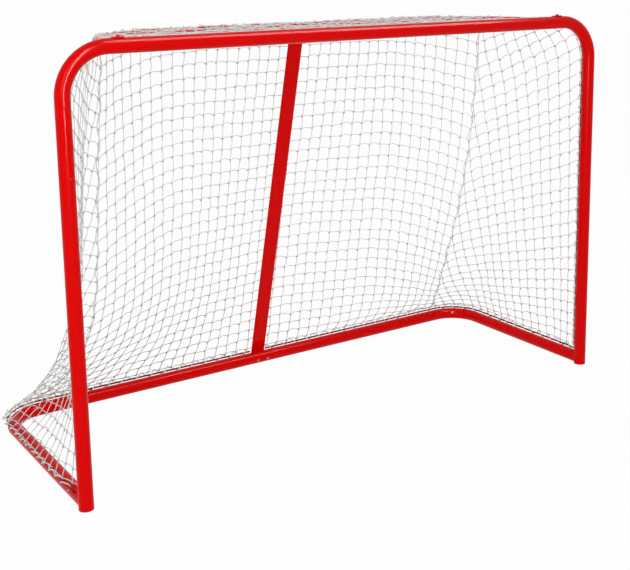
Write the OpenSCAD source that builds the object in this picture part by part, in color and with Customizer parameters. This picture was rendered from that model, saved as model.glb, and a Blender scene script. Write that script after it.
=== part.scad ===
// Hockey goal: a knock-down frame of bent steel tube with a laced net.
// Lengths are in millimetres. X runs along the goal line, Y to the back, Z up.
// The origin lies on the ground, in the middle of the footprint.

/* [Mouth] */
// Clear width between the posts
mouth_w = 1829; // [1500:1:2400]
// Clear height under the crossbar
mouth_h = 1219; // [1150:1:1500]
// Outer diameter of the posts, the crossbar and the base tubes
tube_d = 41.5; // [36:0.5:43]
// Wall thickness of these tubes
tube_wall = 1.5; // [1.2:0.1:2.5]
// Bend radius of the top corners, to the axis of the tube
corner_r = 127; // [110:1:130]
// Straight tube between the sleeve in each post and the bend above it
seam_to_bend = 9; // [4:0.5:60]
// Distance of each crossbar seam from the middle
crossbar_seam = 452; // [300:1:560]

/* [Base] */
// Depth from the axis of the posts to the axis of the back tube
base_depth = 700; // [600:1:900]
// Bend radius of the rear corners, to the axis of the tube
base_corner_r = 115; // [90:1:150]
// Straight run from each rear bend to its seam
base_stub = 26; // [26:1:60]

/* [Top shelf bar] */
// Outer diameter of the shelf bar
shelf_d = 25; // [22:0.5:28]
// Wall thickness of the shelf bar
shelf_wall = 1.5; // [1.2:0.1:2.5]
// Distance of each shelf leg from the middle
shelf_half = 780; // [650:1:790]
// Straight run of each shelf leg, from the crossbar's axis to the bend
shelf_leg = 70; // [64:1:160]
// Bend radius of the shelf bar, to its axis
shelf_r = 340; // [250:1:342]

/* [Centre bar] */
// Outer diameter of the tube that the centre bar is pressed from
bar_d = 38; // [34:0.5:42]
// Thickness of the flat-pressed centre bar
bar_t = 12; // [9:0.5:14]
// Thickness of its flattened ends
bar_end_t = 4; // [3:0.5:5]
// Length of each flattened end beyond its contact with a tube
bar_end = 34; // [28:1:60]

/* [Sleeves and screws] */
// Radial clearance between a sleeve and the tube around it
sleeve_gap = 0.2; // [0.1:0.05:0.4]
// Wall thickness of the sleeves
sleeve_wall = 1.5; // [1.2:0.1:2.5]
// Distance of each post screw from the post's seam
post_screw = 92; // [40:1:96]
// Distance of each screw from the seam of a horizontal tube
seam_screw = 13; // [11:0.5:15]
// Distance of each bolt of the centre bar from the middle
bar_bolt = 20; // [12:0.5:22]
// Diameter of the screws
screw_d = 5; // [4:0.5:6]
// Diameter of the screw heads
screw_head_d = 10; // [8.5:0.5:11]
// Height of the screw heads
screw_head_h = 2.6; // [2:0.1:3.5]

/* [Lacing rods] */
// Diameter of the rods that the net is laced to
rod_d = 6; // [5:0.5:8]
// Clear gap between a rod and its tube
rod_gap = 5; // [4:0.5:8]

/* [Net] */
// Thickness of the net's twine
twine = 4; // [3:0.5:5]
// Clearance of the net and the lacing from what holds them
net_gap = 0.3; // [0.2:0.05:0.5]
// Diameter of the lacing cord
lace_d = 2.5; // [2:0.25:3.5]
// Distance of the net's lower edge outside the base tube's axis
base_net_out = 29.5; // [29.5:0.5:34]
// Height of the net's lower edge above the base tube's axis
base_net_up = 26.5; // [26:0.5:30]
// Rows of mesh up the straight part of the posts
post_rows = 5; // [4:1:6]
// Columns of mesh along each base arm
arm_cols = 4; // [3:1:5]
// Columns of mesh along half of the shelf bar's straight part
flat_cols = 4; // [3:1:5]
// Depth to which the net hangs in at its seams
net_sag = 87; // [0:1:95]

/* [Hidden] */
$fn = 64;

// Colours
paint_red = [0.86, 0.02, 0.02];
zinc = [0.78, 0.79, 0.80];
net_white = [0.93, 0.93, 0.91];

// Frame
tube_r = tube_d / 2;
shelf_tube_r = shelf_d / 2;
half_w = mouth_w / 2 + tube_r;
bar_z = mouth_h + tube_r;
shelf_depth = shelf_r + shelf_leg;
base_z = tube_r;
weld_gap = 0.2;
plug_t = 3;
plug_h = 24;
rod_r = rod_d / 2;
lace_r = lace_d / 2;
net_half = twine / 2;
net_corner = net_half * sqrt(2);
screw_r = screw_d / 2;
screw_hole_r = screw_r + 0.2;

// The lacing of the base reaches furthest back, the heads of the post screws furthest forward
rod_stand = tube_r + rod_gap + rod_r;
base_rod_off = rod_stand / sqrt(2);
base_lead = [base_net_out - base_rod_off, base_net_up - base_rod_off];
lace_fit = rod_r + net_gap + lace_r;
lace_slack = 2;
base_lace_mid = [base_rod_off, base_rod_off] + base_lead / 2;
base_lace_dir = base_lead / norm(base_lead);
base_lace_tip = norm(base_lead) / 2 + lace_fit * sqrt(2) + lace_slack;
back_reach = base_lace_mid[0] + base_lace_tip * base_lace_dir[0] + lace_r;
front_reach = tube_r + screw_head_h;
post_y = round(100 * (front_reach - base_depth - back_reach) / 2) / 100;
back_y = post_y + base_depth;
shelf_y = post_y + shelf_depth;
base_seam = half_w - base_corner_r - base_stub;

// Sleeves: inside the tubes, with a screw on each side of the seam
sleeve_d = tube_d - 2 * tube_wall - 2 * sleeve_gap;
shelf_sleeve_d = shelf_d - 2 * shelf_wall - 2 * sleeve_gap;
sleeve_end = 12;
post_sleeve_l = 2 * (post_screw + sleeve_end);
seam_sleeve_l = 2 * (seam_screw + sleeve_end);
centre_sleeve_l = 2 * (bar_bolt + 2.5 * sleeve_end);

// Saddles that hold the shelf bar on the crossbar
saddle_t = 3;
saddle_w = 30;
saddle_from = -25;
saddle_to = 112;
spigot_l = 34;
spigot_screw = 20;
leg_start = tube_r + saddle_t + 2 * weld_gap;
bracket_head_h = 4;
bracket_head_d = 11;
bracket_bolt_d = 6;

// Centre bar: its flat ends lie against the back of the base and the front of the shelf
bar_gap = 0.2;
bar_off_base = tube_r + bar_gap + bar_end_t / 2;
bar_off_shelf = shelf_tube_r + bar_gap + bar_end_t / 2;
bar_run = [shelf_y - back_y, bar_z - base_z];
bar_lean = asin((bar_off_base + bar_off_shelf) / norm(bar_run)) - atan2(bar_run[0], bar_run[1]);
bar_l = sqrt(pow(norm(bar_run), 2) - pow(bar_off_base + bar_off_shelf, 2));
bar_w = PI * (bar_d - bar_t) / 2 + bar_t;
bar_tip = 14;
bar_blend = 24;
nut_w = 10;
nut_h = 5;

// Lacing rods
roof_z = bar_z + shelf_tube_r + net_gap + net_half;
crossbar_rod_up = roof_z - bar_z;
crossbar_rod_back = sqrt(pow(rod_stand, 2) - pow(crossbar_rod_up, 2));
rod_foot = 60;
rod_end_gap = 6;
stand_r = 2.5;

// Net lines, as distances from the frame's axes
post_net_back = rod_stand + rod_r + net_gap + net_corner;
roof_front = crossbar_rod_back + rod_r + net_gap + net_half;
net_lean = atan2(base_depth - shelf_depth, bar_z - base_z);
shelf_net_out = (shelf_tube_r + net_gap + net_half) / cos(net_lean);
seam_space = net_corner + net_gap / 2;
elbow_rows = 2;
corner_cols = 3;
roof_extra = 2;
roof_rows = 2;
wall_rows = post_rows + elbow_rows;
side_cols = arm_cols + corner_cols;
half_cols = flat_cols + corner_cols;
lace_rings = 6;
lace_sides = 4;

function lerp(a, b, t) = a + (b - a) * t;
function unit(v) = v / norm(v);
function flip(p) = [-p[0], p[1], p[2]];

// Lower edge of the net on the right: along the arm, round the corner, to the middle.
// Round the corner its radius is larger, so that the straight twines clear the rod.
base_arm_run = base_depth - base_corner_r - post_net_back;
seam_after = 4;
corner_bulge = 12;
base_arc_r = base_corner_r + base_net_out + corner_bulge;
base_arc_run = PI / 2 * base_arc_r;
base_back_run = half_w - base_corner_r;
base_seam_run = base_arm_run + base_arc_run + seam_after;
base_half = base_arm_run + base_arc_run + base_back_run;
corner_mid = [half_w - base_corner_r, back_y - base_corner_r];
function base_edge(d) =
    let (e = d - base_arm_run, a = e / base_arc_run * 90, f = e - base_arc_run)
    e <= 0 ? [half_w + base_net_out, post_y + post_net_back + d, base_z + base_net_up]
    : f <= 0 ? [corner_mid[0] + base_arc_r * cos(a), corner_mid[1] + base_arc_r * sin(a), base_z + base_net_up]
    : [corner_mid[0] - f, back_y + base_net_out, base_z + base_net_up];

// Front edge on the right: up the post and round the top corner
elbow_run = PI / 2 * corner_r;
elbow_z = bar_z - corner_r;
post_seam = elbow_z - seam_to_bend - post_sleeve_l / 2;
net_foot_z = base_z + base_net_up;
post_run = elbow_z - net_foot_z;
front_run = post_run + elbow_run;
function elbow_turn(d) = max(0, d - post_run) / elbow_run * 90;
function front_edge(d) =
    let (a = elbow_turn(d))
    [half_w - corner_r + corner_r * cos(a), post_y + post_net_back,
        min(d, post_run) + net_foot_z + corner_r * sin(a)];

// Upper edge on the right: from the crossbar to the shelf bar, along it to the middle
seam_share = 0.47;
shelf_arc_r = (shelf_r + shelf_net_out) / cos((1 - seam_share) * 45 / corner_cols);
shelf_mid = [shelf_half - shelf_r, shelf_y - shelf_r];
shelf_begin = [shelf_mid[0] + shelf_arc_r, shelf_mid[1], bar_z];
leg_run = norm(shelf_begin - front_edge(front_run));
shelf_arc_run = PI / 2 * shelf_arc_r;
function on_shelf(e, r, z) =
    let (a = e / (PI / 2 * r) * 90, f = e - PI / 2 * r)
    f <= 0 ? [shelf_mid[0] + r * cos(a), shelf_mid[1] + r * sin(a), z]
    : [shelf_mid[0] - f, f < 1 ? shelf_mid[1] + r : shelf_y + r - shelf_r, z];
function top_edge(d) =
    let (f = d - leg_run)
    f <= 0 ? lerp(front_edge(front_run), shelf_begin, d / leg_run)
    : f < shelf_arc_run + 1 ? on_shelf(min(f, shelf_arc_run), shelf_arc_r, bar_z)
    : [shelf_mid[0] - (f - shelf_arc_run), shelf_y + shelf_net_out, bar_z];

// The seam between side and back: about half way round the shelf's bend, just past the base's
top_seam = leg_run + seam_share * shelf_arc_run;
top_half = leg_run + shelf_arc_run + shelf_mid[0];

// Shares of each edge at row j and at column i; both also hold between the crossings
function row(j) = j <= post_rows ? j / post_rows * post_run : post_run + (j - post_rows) / elbow_rows * elbow_run;
function side_base(i) = i <= arm_cols ? i / arm_cols * base_arm_run
    : base_arm_run + (i - arm_cols) / corner_cols * (base_seam_run - seam_space - base_arm_run);
function side_share(i) = side_base(i) / side_base(side_cols);
function side_top(i) = side_share(i) * (top_seam - seam_space);
function back_base(i) = lerp(base_half, base_seam_run + seam_space, i / half_cols);
function back_top(i) = i <= flat_cols ? top_half - i / flat_cols * shelf_mid[0]
    : lerp(leg_run + shelf_arc_run, top_seam + seam_space, (i - flat_cols) / corner_cols);

// The net hangs in at its seams: it drops almost straight from the shelf bar, then sweeps
// out to the base. Each seam also sways across the way that it hangs.
seam_fall = base_edge(base_seam_run) - top_edge(top_seam);
seam_way = -unit([seam_fall[0], seam_fall[1], 0]);
seam_across = [-seam_way[1], seam_way[0], 0];
seam_sway = 22;
sag_power = 6;
sag_peak = pow(1 / (1 + sag_power), 1 / sag_power) * sag_power / (1 + sag_power);
flat_share = 0.9;
function sag_depth(t) = net_sag * (1 - t) * (1 - pow(1 - t, sag_power)) / sag_peak;
function sway(t) = seam_sway * sin(360 * (1 - t)) * seam_across;
function side_sag(s, t) = pow(s, 1.5) * (sag_depth(t) * unit(lerp([-1, 0, 0], seam_way, s)) + sway(t));
function back_sag(s, t) =
    let (e = min(1, s / flat_share))
    e * e * (3 - 2 * e) * (sag_depth(t) * unit(lerp([0, -1, 0], seam_way, s)) + sway(t));

// The side's front column follows the post and the corner; the bow fades towards the back
function side_point(i, j) =
    let (t = row(j) / front_run, s = side_share(i), fade = pow(1 - s, 2),
        bow = front_edge(row(j)) - lerp(front_edge(0), front_edge(front_run), t),
        foot = base_edge(side_base(i)),
        spread = lerp(foot, top_edge(side_top(i)), t),
        lead = (1 - t) * max(0, 1 - i) * (front_edge(0) - base_edge(0)))
    spread + fade * bow + lead + side_sag(s, t);
function back_half_point(i, j) =
    let (t = row(j) / front_run)
    lerp(base_edge(back_base(i)), top_edge(back_top(i)), t) + back_sag(i / half_cols, t);
function back_point(i, j) =
    i < half_cols ? flip(back_half_point(half_cols - i, j)) : back_half_point(i - half_cols, j);

// Places along the shelf bar where the columns of the roof and of the back cross it
roof_cols = half_cols + roof_extra;
function shelf_station(k) =
    let (d = k <= half_cols ? back_top(k) : lerp(top_seam, leg_run, (k - half_cols) / roof_extra))
    min(d - leg_run, shelf_arc_run) * shelf_r / shelf_arc_r + max(0, d - leg_run - shelf_arc_run);
function on_roof(k) =
    let (p = on_shelf(shelf_station(abs(k)), shelf_r, roof_z))
    k < 0 ? flip(p) : p;
function roof_point(i, j) =
    let (rear = on_roof(i - roof_cols), front = [rear[0], post_y + roof_front, roof_z])
    lerp(front, rear, j / roof_rows);

// Tubes -------------------------------------------------------------------

module rod_x(x0, x1, d) {
    translate([x0, 0, 0]) rotate([0, 90, 0]) cylinder(d = d, h = x1 - x0);
}

module rod_y(y0, y1, d) {
    translate([0, y0, 0]) rotate([-90, 0, 0]) cylinder(d = d, h = y1 - y0);
}

module bend(r, d) {
    rotate_extrude(angle = 90) translate([r, 0]) circle(d = d);
}

// A quarter bend standing in the XZ plane, from the upright on the right to the horizontal
module upright_bend(r, d) {
    rotate([90, 0, 0]) bend(r, d);
}

module left() {
    mirror([1, 0, 0]) children();
}

module both_sides() {
    children();
    left() children();
}

// Holes and screws share these places
module at_post_screws() {
    for (side = [-1, 1], dz = [-post_screw, post_screw])
        translate([side * half_w, post_y - tube_r, post_seam + dz]) rotate([90, 0, 0]) children();
}

crossbar_screw_turn = 135;
module at_crossbar_screws() {
    for (side = [-1, 1], dx = [-seam_screw, seam_screw])
        translate([side * crossbar_seam + dx, post_y, bar_z])
            rotate([-crossbar_screw_turn, 0, 0]) translate([0, 0, tube_r]) children();
}

corner_screw_tilt = 35;
module at_base_corner_screws() {
    for (side = [-1, 1], dx = [-seam_screw, seam_screw])
        translate([side * base_seam + dx, back_y, base_z])
            rotate([90 - corner_screw_tilt, 0, 0]) translate([0, 0, tube_r]) children();
}

module at_shelf_leg_screws() {
    for (side = [-1, 1])
        translate([side * shelf_half, post_y + leg_start + spigot_screw, bar_z - shelf_tube_r])
            rotate([180, 0, 0]) children();
}

module at_bracket_bolts() {
    for (side = [-1, 1])
        translate([side * shelf_half, post_y, bar_z + tube_r + weld_gap + saddle_t]) children();
}

// The bar's own frame: its contact with the base at the origin, its length along Z
module in_bar() {
    translate([0, back_y, base_z]) rotate([bar_lean, 0, 0]) children();
}

module at_base_centre_bolts() {
    in_bar() for (dx = [-bar_bolt, bar_bolt])
        translate([dx, -tube_r, 0]) rotate([90, 0, 0]) children();
}

module at_shelf_centre_screws() {
    in_bar() for (dx = [-bar_bolt, bar_bolt])
        translate([dx, bar_off_base - bar_end_t / 2, bar_l]) rotate([90, 0, 0]) children();
}

module screw_hole(l, r = screw_hole_r) {
    translate([0, 0, -l]) cylinder(r = r, h = l + 5);
}

module screw_holes() {
    at_post_screws() screw_hole(2 * screw_d);
    at_crossbar_screws() screw_hole(2 * screw_d);
    at_base_corner_screws() screw_hole(2 * screw_d);
    at_shelf_leg_screws() screw_hole(1.6 * screw_d);
    at_bracket_bolts() screw_hole(2 * screw_d, bracket_bolt_d / 2 + 0.2);
    at_base_centre_bolts() screw_hole(tube_d + 20);
    at_shelf_centre_screws() screw_hole(shelf_tube_r);
}

module right_post_body() {
    color(paint_red) difference() {
        translate([half_w, post_y, plug_t]) cylinder(d = tube_d, h = post_seam - plug_t);
        translate([half_w, post_y, 0]) cylinder(d = tube_d - 2 * tube_wall, h = post_seam + 1);
        screw_holes();
    }
}

module right_post() {
    right_post_body();
}

module left_post() {
    left() right_post_body();
}

module top_corner_path(d, over = 0) {
    translate([half_w, post_y, post_seam - over]) cylinder(d = d, h = elbow_z - post_seam + over);
    translate([half_w - corner_r, post_y, elbow_z]) upright_bend(corner_r, d);
    translate([0, post_y, bar_z]) rod_x(crossbar_seam - over, half_w - corner_r, d);
}

module right_corner_body() {
    color(paint_red) difference() {
        top_corner_path(tube_d);
        top_corner_path(tube_d - 2 * tube_wall, 1);
        screw_holes();
    }
}

module right_top_corner() {
    right_corner_body();
}

module left_top_corner() {
    left() right_corner_body();
}

module crossbar() {
    color(paint_red) difference() {
        translate([0, post_y, bar_z]) rod_x(-crossbar_seam, crossbar_seam, tube_d);
        translate([0, post_y, bar_z]) rod_x(-mouth_w / 2, mouth_w / 2, tube_d - 2 * tube_wall);
        screw_holes();
    }
}

module base_arm_path(d, over = 0) {
    translate([half_w, 0, base_z]) rod_y(post_y, back_y - base_corner_r, d);
    translate([half_w - base_corner_r, back_y - base_corner_r, base_z]) bend(base_corner_r, d);
    translate([0, back_y, base_z]) rod_x(base_seam - over, half_w - base_corner_r, d);
}

// The arm's front end is cut to the round of the post that it is welded to
module right_arm_body() {
    color(paint_red) difference() {
        base_arm_path(tube_d);
        base_arm_path(tube_d - 2 * tube_wall, 1);
        translate([half_w, post_y, -1]) cylinder(r = tube_r + weld_gap, h = tube_d + 2);
        screw_holes();
    }
}

module right_base_arm() {
    right_arm_body();
}

module left_base_arm() {
    left() right_arm_body();
}

module right_back_body() {
    color(paint_red) difference() {
        translate([0, back_y, base_z]) rod_x(0, base_seam, tube_d);
        translate([0, back_y, base_z]) rod_x(-1, base_seam + 1, tube_d - 2 * tube_wall);
        screw_holes();
    }
}

module right_back_tube() {
    right_back_body();
}

module left_back_tube() {
    left() right_back_body();
}

module shelf_path(d, over = 0) {
    translate([0, shelf_y, bar_z]) rod_x(-over, shelf_mid[0], d);
    translate([shelf_mid[0], shelf_mid[1], bar_z]) bend(shelf_r, d);
    translate([shelf_half, 0, bar_z]) rod_y(post_y + leg_start - over, shelf_mid[1], d);
}

module right_shelf_body() {
    color(paint_red) difference() {
        shelf_path(shelf_d);
        shelf_path(shelf_d - 2 * shelf_wall, 1);
        screw_holes();
    }
}

module right_shelf_bar() {
    right_shelf_body();
}

module left_shelf_bar() {
    left() right_shelf_body();
}

// A curved saddle on the crossbar, with a hollow spigot that carries the shelf's leg
module right_bracket_body() {
    inner = tube_r + weld_gap;
    color(paint_red) difference() {
        union() {
            translate([shelf_half + saddle_w / 2, post_y, bar_z])
                rotate([0, -90, 0]) rotate([0, 0, 90 - saddle_to])
                    rotate_extrude(angle = saddle_to - saddle_from)
                        translate([inner, 0]) square([saddle_t, saddle_w]);
            difference() {
                translate([shelf_half, 0, bar_z])
                    rod_y(post_y, post_y + leg_start + spigot_l, shelf_sleeve_d);
                translate([0, post_y, bar_z]) rod_x(0, half_w, 2 * inner + saddle_t);
            }
        }
        translate([shelf_half, 0, bar_z])
            rod_y(post_y, post_y + leg_start + spigot_l + 1, shelf_sleeve_d - 2 * sleeve_wall);
        screw_holes();
    }
}

module right_shelf_bracket() {
    right_bracket_body();
}

module left_shelf_bracket() {
    left() right_bracket_body();
}

module flat_oval(w, t) {
    square([w - t, t], center = true);
    for (side = [-1, 1]) translate([side * (w - t) / 2, 0]) circle(d = t);
}

// The bar seen from the front: straight sides and rounded tips
module bar_outline() {
    from = -bar_tip;
    to = bar_l + bar_tip;
    inset = bar_w / 2 - bar_tip;
    translate([-bar_w / 2, from + bar_tip]) square([bar_w, to - from - 2 * bar_tip]);
    translate([-inset, from]) square([2 * inset, to - from]);
    for (side = [-1, 1], z = [from + bar_tip, to - bar_tip]) translate([side * inset, z]) circle(bar_tip);
}

// The bar seen from the side: flat ends that swell to the full thickness
module bar_profile() {
    from = -2 * bar_tip;
    to = bar_l + 2 * bar_tip;
    swell = bar_end + bar_blend;
    half_end = bar_end_t / 2;
    half_body = bar_t / 2;
    polygon([[half_end, from], [half_end, bar_end], [half_body, swell],
        [half_body, bar_l - swell], [half_end, bar_l - bar_end], [half_end, to],
        [-half_end, to], [-half_end, bar_l - bar_end], [-half_body, bar_l - swell],
        [-half_body, swell], [-half_end, bar_end], [-half_end, from]]);
}

module centre_bar() {
    hollow_from = bar_end + bar_blend + 2;
    color(paint_red) difference() {
        in_bar() translate([0, bar_off_base, 0]) difference() {
            intersection() {
                translate([0, 0, -2 * bar_tip]) linear_extrude(bar_l + 4 * bar_tip) flat_oval(bar_w, bar_t + 0.1);
                translate([0, bar_t, 0]) rotate([90, 0, 0]) linear_extrude(2 * bar_t) bar_outline();
                translate([-bar_w, 0, 0]) rotate([90, 0, 90]) linear_extrude(2 * bar_w) bar_profile();
            }
            translate([0, 0, hollow_from]) linear_extrude(bar_l - 2 * hollow_from)
                flat_oval(bar_w - 2 * tube_wall, bar_t - 2 * tube_wall);
        }
        screw_holes();
    }
}

// Sleeves and plugs ---------------------------------------------------------

module sleeve_x(x, y, z, l, d) {
    color(zinc) difference() {
        translate([0, y, z]) rod_x(x - l / 2, x + l / 2, d);
        translate([0, y, z]) rod_x(x - l, x + l, d - 2 * sleeve_wall);
        screw_holes();
    }
}

module right_post_sleeve_body() {
    color(zinc) difference() {
        translate([half_w, post_y, post_seam - post_sleeve_l / 2]) cylinder(d = sleeve_d, h = post_sleeve_l);
        translate([half_w, post_y, 0]) cylinder(d = sleeve_d - 2 * sleeve_wall, h = bar_z);
        screw_holes();
    }
}

module right_post_sleeve() {
    right_post_sleeve_body();
}

module left_post_sleeve() {
    left() right_post_sleeve_body();
}

module right_crossbar_sleeve() {
    sleeve_x(crossbar_seam, post_y, bar_z, seam_sleeve_l, sleeve_d);
}

module left_crossbar_sleeve() {
    sleeve_x(-crossbar_seam, post_y, bar_z, seam_sleeve_l, sleeve_d);
}

module right_base_sleeve() {
    sleeve_x(base_seam, back_y, base_z, seam_sleeve_l, sleeve_d);
}

module left_base_sleeve() {
    sleeve_x(-base_seam, back_y, base_z, seam_sleeve_l, sleeve_d);
}

module base_centre_sleeve() {
    sleeve_x(0, back_y, base_z, centre_sleeve_l, sleeve_d);
}

module shelf_sleeve() {
    sleeve_x(0, shelf_y, bar_z, centre_sleeve_l, shelf_sleeve_d);
}

// A plug closes the post's foot: its rim is as wide as the tube
module right_plug_body() {
    color(paint_red) translate([half_w, post_y, 0]) difference() {
        union() {
            cylinder(d = tube_d, h = plug_t);
            cylinder(d = sleeve_d, h = plug_h);
        }
        translate([0, 0, plug_t]) cylinder(d = sleeve_d - 4 * sleeve_wall, h = plug_h);
    }
}

module right_foot_plug() {
    right_plug_body();
}

module left_foot_plug() {
    left() right_plug_body();
}

// Lacing rods ---------------------------------------------------------------

// A stand-off from a tube's surface to the middle of its rod, along Z
module stand_off() {
    translate([0, 0, tube_r + weld_gap]) cylinder(r = stand_r, h = rod_stand - tube_r - weld_gap);
}

module right_post_rod_body() {
    color(paint_red) {
        translate([half_w, post_y + rod_stand, rod_foot]) cylinder(d = rod_d, h = elbow_z - rod_foot);
        translate([half_w - corner_r, post_y + rod_stand, elbow_z]) upright_bend(corner_r, rod_d);
        for (j = [0.5 : 3 : wall_rows])
            translate(front_edge(row(j)) - [0, post_net_back, 0]) rotate([-90, 0, 0]) stand_off();
    }
}

module right_post_rod() {
    right_post_rod_body();
}

module left_post_rod() {
    left() right_post_rod_body();
}

module crossbar_rod() {
    reach = shelf_half - saddle_w / 2 - rod_end_gap;
    rise = atan2(crossbar_rod_up, crossbar_rod_back);
    color(paint_red) {
        translate([0, post_y + crossbar_rod_back, roof_z]) rod_x(-reach, reach, rod_d);
        for (k = [1 - half_cols : 4 : half_cols - 1])
            translate([on_roof(k)[0], post_y, bar_z]) rotate([rise - 90, 0, 0]) stand_off();
    }
}

module right_base_rod_body() {
    rod_z = base_z + base_rod_off;
    color(paint_red) {
        translate([half_w + base_rod_off, 0, rod_z]) rod_y(post_y + post_net_back, corner_mid[1], rod_d);
        translate([corner_mid[0], corner_mid[1], rod_z]) bend(base_corner_r + base_rod_off, rod_d);
        for (k = [0.5, arm_cols - 0.5])
            translate([half_w, base_edge(side_base(k))[1], base_z]) rotate([0, 45, 0]) stand_off();
    }
}

module right_base_rod() {
    right_base_rod_body();
}

module left_base_rod() {
    left() right_base_rod_body();
}

module right_back_rod_body() {
    color(paint_red) {
        translate([0, back_y + base_rod_off, base_z + base_rod_off])
            rod_x(bar_w / 2 + rod_end_gap, corner_mid[0] - weld_gap, rod_d);
        for (k = [0.5, half_cols - 1.5])
            translate([back_half_point(k, 0)[0], back_y, base_z]) rotate([-45, 0, 0]) stand_off();
    }
}

module right_back_rod() {
    right_back_rod_body();
}

module left_back_rod() {
    left() right_back_rod_body();
}

// Net -------------------------------------------------------------------------

// A lattice of square twine on the grid of points p, n by m cells.
// Each crossing has eight corners; twines join the crossings.
module lattice(p, n, m) {
    function at(i, j) = p[i][j];
    function along(i, j) = unit(at(min(i + 1, n), j) - at(max(i - 1, 0), j));
    function up(i, j) = unit(at(i, min(j + 1, m)) - at(i, max(j - 1, 0)));
    function corners(i, j) =
        let (u = along(i, j), v = up(i, j), w = unit(cross(u, v)), c = at(i, j))
        [for (s = [1, -1], q = [[-1, -1], [1, -1], [1, 1], [-1, 1]])
            c + net_half * (q[0] * u + q[1] * v + s * w)];
    function id(i, j, k) = 8 * (i * (m + 1) + j) + k;
    function quad(a, b, c, d) = [[a, b, c], [a, c, d]];
    pts = [for (i = [0 : n], j = [0 : m]) each corners(i, j)];
    faces = [
        for (i = [0 : n], j = [0 : m]) each concat(
            quad(id(i, j, 0), id(i, j, 3), id(i, j, 2), id(i, j, 1)),
            quad(id(i, j, 4), id(i, j, 5), id(i, j, 6), id(i, j, 7)),
            i == 0 ? quad(id(i, j, 0), id(i, j, 4), id(i, j, 7), id(i, j, 3)) : [],
            i == n ? quad(id(i, j, 1), id(i, j, 2), id(i, j, 6), id(i, j, 5)) : [],
            j == 0 ? quad(id(i, j, 0), id(i, j, 1), id(i, j, 5), id(i, j, 4)) : [],
            j == m ? quad(id(i, j, 3), id(i, j, 7), id(i, j, 6), id(i, j, 2)) : []),
        for (i = [0 : n - 1], j = [0 : m]) each concat(
            quad(id(i, j, 1), id(i, j, 2), id(i + 1, j, 3), id(i + 1, j, 0)),
            quad(id(i, j, 5), id(i + 1, j, 4), id(i + 1, j, 7), id(i, j, 6)),
            quad(id(i, j, 2), id(i, j, 6), id(i + 1, j, 7), id(i + 1, j, 3)),
            quad(id(i, j, 1), id(i + 1, j, 0), id(i + 1, j, 4), id(i, j, 5))),
        for (i = [0 : n], j = [0 : m - 1]) each concat(
            quad(id(i, j, 3), id(i, j + 1, 0), id(i, j + 1, 1), id(i, j, 2)),
            quad(id(i, j, 7), id(i, j, 6), id(i, j + 1, 5), id(i, j + 1, 4)),
            quad(id(i, j, 2), id(i, j + 1, 1), id(i, j + 1, 5), id(i, j, 6)),
            quad(id(i, j, 3), id(i, j, 7), id(i, j + 1, 4), id(i, j + 1, 0)))
    ];
    polyhedron(points = pts, faces = faces, convexity = 10);
}

module right_net_body() {
    color(net_white) lattice([for (i = [0 : side_cols]) [for (j = [0 : wall_rows]) side_point(i, j)]],
        side_cols, wall_rows);
}

module right_net() {
    right_net_body();
}

module left_net() {
    left() right_net_body();
}

module back_net() {
    n = 2 * half_cols;
    color(net_white) lattice([for (i = [0 : n]) [for (j = [0 : wall_rows]) back_point(n - i, j)]],
        n, wall_rows);
}

module roof_net() {
    n = 2 * roof_cols;
    color(net_white) lattice([for (i = [0 : n]) [for (j = [0 : roof_rows]) roof_point(i, j)]],
        n, roof_rows);
}

// Lacing ------------------------------------------------------------------------

// A cord through the points of a path; side stands across the path's own plane
module wound(centres, side) {
    n = len(centres) - 1;
    function ring(k) =
        let (t = unit(centres[min(k + 1, n)] - centres[max(k - 1, 0)]), u = unit(cross(t, side)), v = cross(t, u))
        [for (s = [0 : lace_sides - 1])
            centres[k] + lace_r * (cos(360 * s / lace_sides) * u + sin(360 * s / lace_sides) * v)];
    pts = [for (k = [0 : n]) each ring(k)];
    walls = [for (k = [0 : n - 1], s = [0 : lace_sides - 1])
        let (a = k * lace_sides + s, b = k * lace_sides + (s + 1) % lace_sides)
        each [[a, a + lace_sides, b + lace_sides], [a, b + lace_sides, b]]];
    first = [for (s = [0 : lace_sides - 1]) s];
    last = [for (s = [lace_sides - 1 : -1 : 0]) n * lace_sides + s];
    polyhedron(points = pts, faces = concat([first], walls, [last]), convexity = 10);
}

// Step k of a curl round a rod and a twine that lie 2 * half apart: it starts behind the rod,
// and passes the twine in the middle of a cell
function curl(k, half) =
    let (tip = half + lace_fit * sqrt(2), flat = half + lace_fit * (sqrt(2) - 1), far = flat + lace_slack)
    [[-tip, 0], [-flat, lace_fit], [far, lace_fit], [tip + lace_slack, 0], [far, -lace_fit], [-flat, -lace_fit]]
        [k % lace_rings];

post_lace_half = (post_net_back - rod_stand) / 2;
module right_post_lacing_body() {
    color(net_white) wound([for (k = [1 : wall_rows * lace_rings - 1])
        let (d = row(k / lace_rings), a = elbow_turn(d), c = curl(k, post_lace_half), w = a > 0 ? 3 * c[1] : c[1])
        front_edge(d) + [w * cos(a), c[0] - post_lace_half, w * sin(a)]], [0, 1, 0]);
}

module right_post_lacing() {
    right_post_lacing_body();
}

module left_post_lacing() {
    left() right_post_lacing_body();
}

// One curl for two columns, so that it meets the roof in the middle of every second cell
module crossbar_lacing() {
    half = (roof_front - crossbar_rod_back) / 2;
    from = 0.5 - half_cols;
    steps = half_cols * lace_rings - lace_rings / 2;
    function across(q) = (q < 0 ? -1 : 1) * on_roof(abs(q))[0];
    color(net_white) wound([for (k = [1 : steps - 1])
        let (c = curl(k, half))
        [across(from + 2 * k / lace_rings), post_y + roof_front - half + c[0], roof_z + c[1]]], [0, 0, 1]);
}

// Offset outwards and upwards of step k of the base's lacing from the net's lower edge
function base_curl(k) =
    let (c = curl(k, norm(base_lead) / 2), s = base_lace_dir)
    base_lace_mid - [base_net_out, base_net_up] + [c[0] * s[0] - c[1] * s[1], c[0] * s[1] + c[1] * s[0]];

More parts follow.
